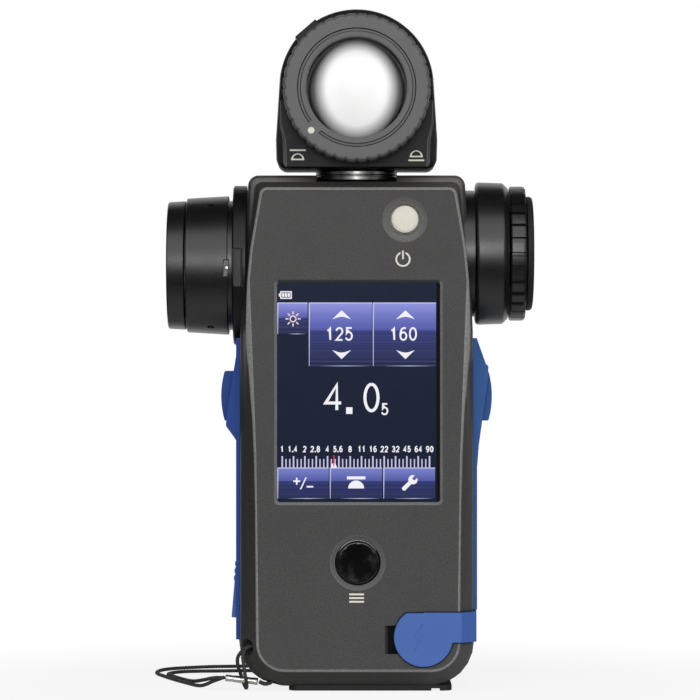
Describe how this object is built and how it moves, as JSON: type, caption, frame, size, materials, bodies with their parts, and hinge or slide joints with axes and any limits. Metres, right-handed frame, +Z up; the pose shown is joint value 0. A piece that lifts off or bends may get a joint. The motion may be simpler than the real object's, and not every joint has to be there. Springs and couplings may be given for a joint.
{
  "type": "handheld light meter",
  "caption": "Handheld light meter with swivelling head, retracting white dome, spot finder across the body, touch display, side buttons, rubber socket covers and wrist strap.",
  "frame": {"origin": "on the base plane, on the axis that the head turns about", "axes": "+Z up from base to head, -Y out of the display, +X to the right of someone who looks at the display"},
  "size_m": [0.1004, 0.082, 0.1757],
  "materials": {
    "case": "speckled satin",
    "black": "satin",
    "gloss": "polished",
    "ring": "matte",
    "blue": "soft matte",
    "ivory": "satin",
    "dome": "translucent matte",
    "screen": "polished",
    "lens": "coated",
    "board": "solder mask",
    "nickel": "plated",
    "brass": "machined",
    "cell": "printed sleeve",
    "cord": "braided"
  },
  "bodies": {
    "case": {"front_shell": "case", "rear_shell": "case", "left_grip": "blue", "right_grip": "blue", "measuring_switch": "black", "memory_switch": "black", "touch_glass": "screen", "lcd_panel": "black", "main_board": "board", "power_switch": "nickel", "menu_switch": "nickel", "lower_left_screw": "nickel", "lower_right_screw": "nickel", "upper_left_screw": "nickel", "upper_right_screw": "nickel", "objective_flange": "black", "objective_barrel": "black", "objective_front_ring": "black", "objective_lens": "lens", "spot_prism": "lens", "spot_sensor": "black", "reticle_plate": "lens", "eyepiece_neck": "black", "eyepiece_collar": "black", "neck_collar": "gloss", "cell_tray": "black", "left_cell": "cell", "right_cell": "cell", "lower_contact": "brass", "upper_contact": "brass", "radio_cover": "case", "radio_module": "board", "base_pad": "black", "tripod_bush": "brass", "sync_socket": "nickel", "usb_socket": "nickel", "strap_loop": "cord", "strap_crimp": "nickel", "strap_run_a": "cord", "strap_run_b": "cord", "strap_coil": "cord"},
    "head": {"head_front_shell": "black", "head_rear_shell": "black", "swivel_tube": "black", "sensor_board": "board", "light_sensor": "lens"},
    "dome_ring": {"lumisphere_ring": "ring"},
    "dome": {"lumisphere": "dome"},
    "power_key": {"power_button": "ivory"},
    "menu_key": {"menu_button": "gloss"},
    "measuring_key": {"measuring_button": "blue"},
    "memory_key": {"memory_button": "blue"},
    "diopter": {"diopter_ring": "black", "eyecup": "black"},
    "ocular": {"ocular_cell": "black", "ocular_lens": "lens"},
    "sync_flap": {"sync_cover": "blue"},
    "usb_flap": {"usb_cover": "blue"},
    "lid": {"cell_lid": "case"},
    "latch": {"lid_latch": "black"}
  },
  "joints": [
    {"name": "head_swivel", "type": "hinge", "parent": "case", "child": "head", "pos_m": [0, 0, 0.133], "axis": [0, 0, 1], "range_deg": [-90, 180]},
    {"name": "lumisphere_ring_turn", "type": "hinge", "parent": "head", "child": "dome_ring", "pos_m": [0, -0.024, 0.1549], "axis": [0, -1, 0], "range_deg": [0, 90]},
    {"name": "lumisphere_extend", "type": "slide", "parent": "head", "child": "dome", "axis": [0, -1, 0], "range_m": [0, 0.0085]},
    {"name": "power_button_press", "type": "slide", "parent": "case", "child": "power_key", "axis": [0, 1, 0], "range_m": [0, 0.0008], "stiffness_N_per_m": 800},
    {"name": "menu_button_press", "type": "slide", "parent": "case", "child": "menu_key", "axis": [0, 1, 0], "range_m": [0, 0.0008], "stiffness_N_per_m": 800},
    {"name": "measuring_button_press", "type": "slide", "parent": "case", "child": "measuring_key", "axis": [1, 0, 0], "range_m": [0, 0.0012], "stiffness_N_per_m": 800},
    {"name": "memory_button_press", "type": "slide", "parent": "case", "child": "memory_key", "axis": [-1, 0, 0], "range_m": [0, 0.0012], "stiffness_N_per_m": 800},
    {"name": "diopter_turn", "type": "hinge", "parent": "case", "child": "diopter", "pos_m": [0.0398, 0.0015, 0.1131], "axis": [1, 0, 0], "range_deg": [-60, 60]},
    {"name": "ocular_focus", "type": "slide", "parent": "case", "child": "ocular", "axis": [1, 0, 0], "range_m": [-0.001, 0.001]},
    {"name": "sync_cover_open", "type": "hinge", "parent": "case", "child": "sync_flap", "pos_m": [0.0309, -0.004, 0.0142], "axis": [0, 0, 1], "range_deg": [0, 100]},
    {"name": "usb_cover_open", "type": "hinge", "parent": "case", "child": "usb_flap", "pos_m": [-0.0312, 0.001, 0.0336], "axis": [0, 1, 0], "range_deg": [0, 100]},
    {"name": "cell_lid_open", "type": "hinge", "parent": "case", "child": "lid", "pos_m": [0, 0.018, 0.014], "axis": [-1, 0, 0], "range_deg": [0, 95]},
    {"name": "lid_latch_slide", "type": "slide", "parent": "lid", "child": "latch", "axis": [0, 0, -1], "range_m": [0, 0.003]}
  ],
  "couplings": [
    {"joint": "lumisphere_extend", "follows": "lumisphere_ring_turn", "m_per_rad": 0.00541},
    {"joint": "ocular_focus", "follows": "diopter_turn", "m_per_rad": 0.00095}
  ]
}
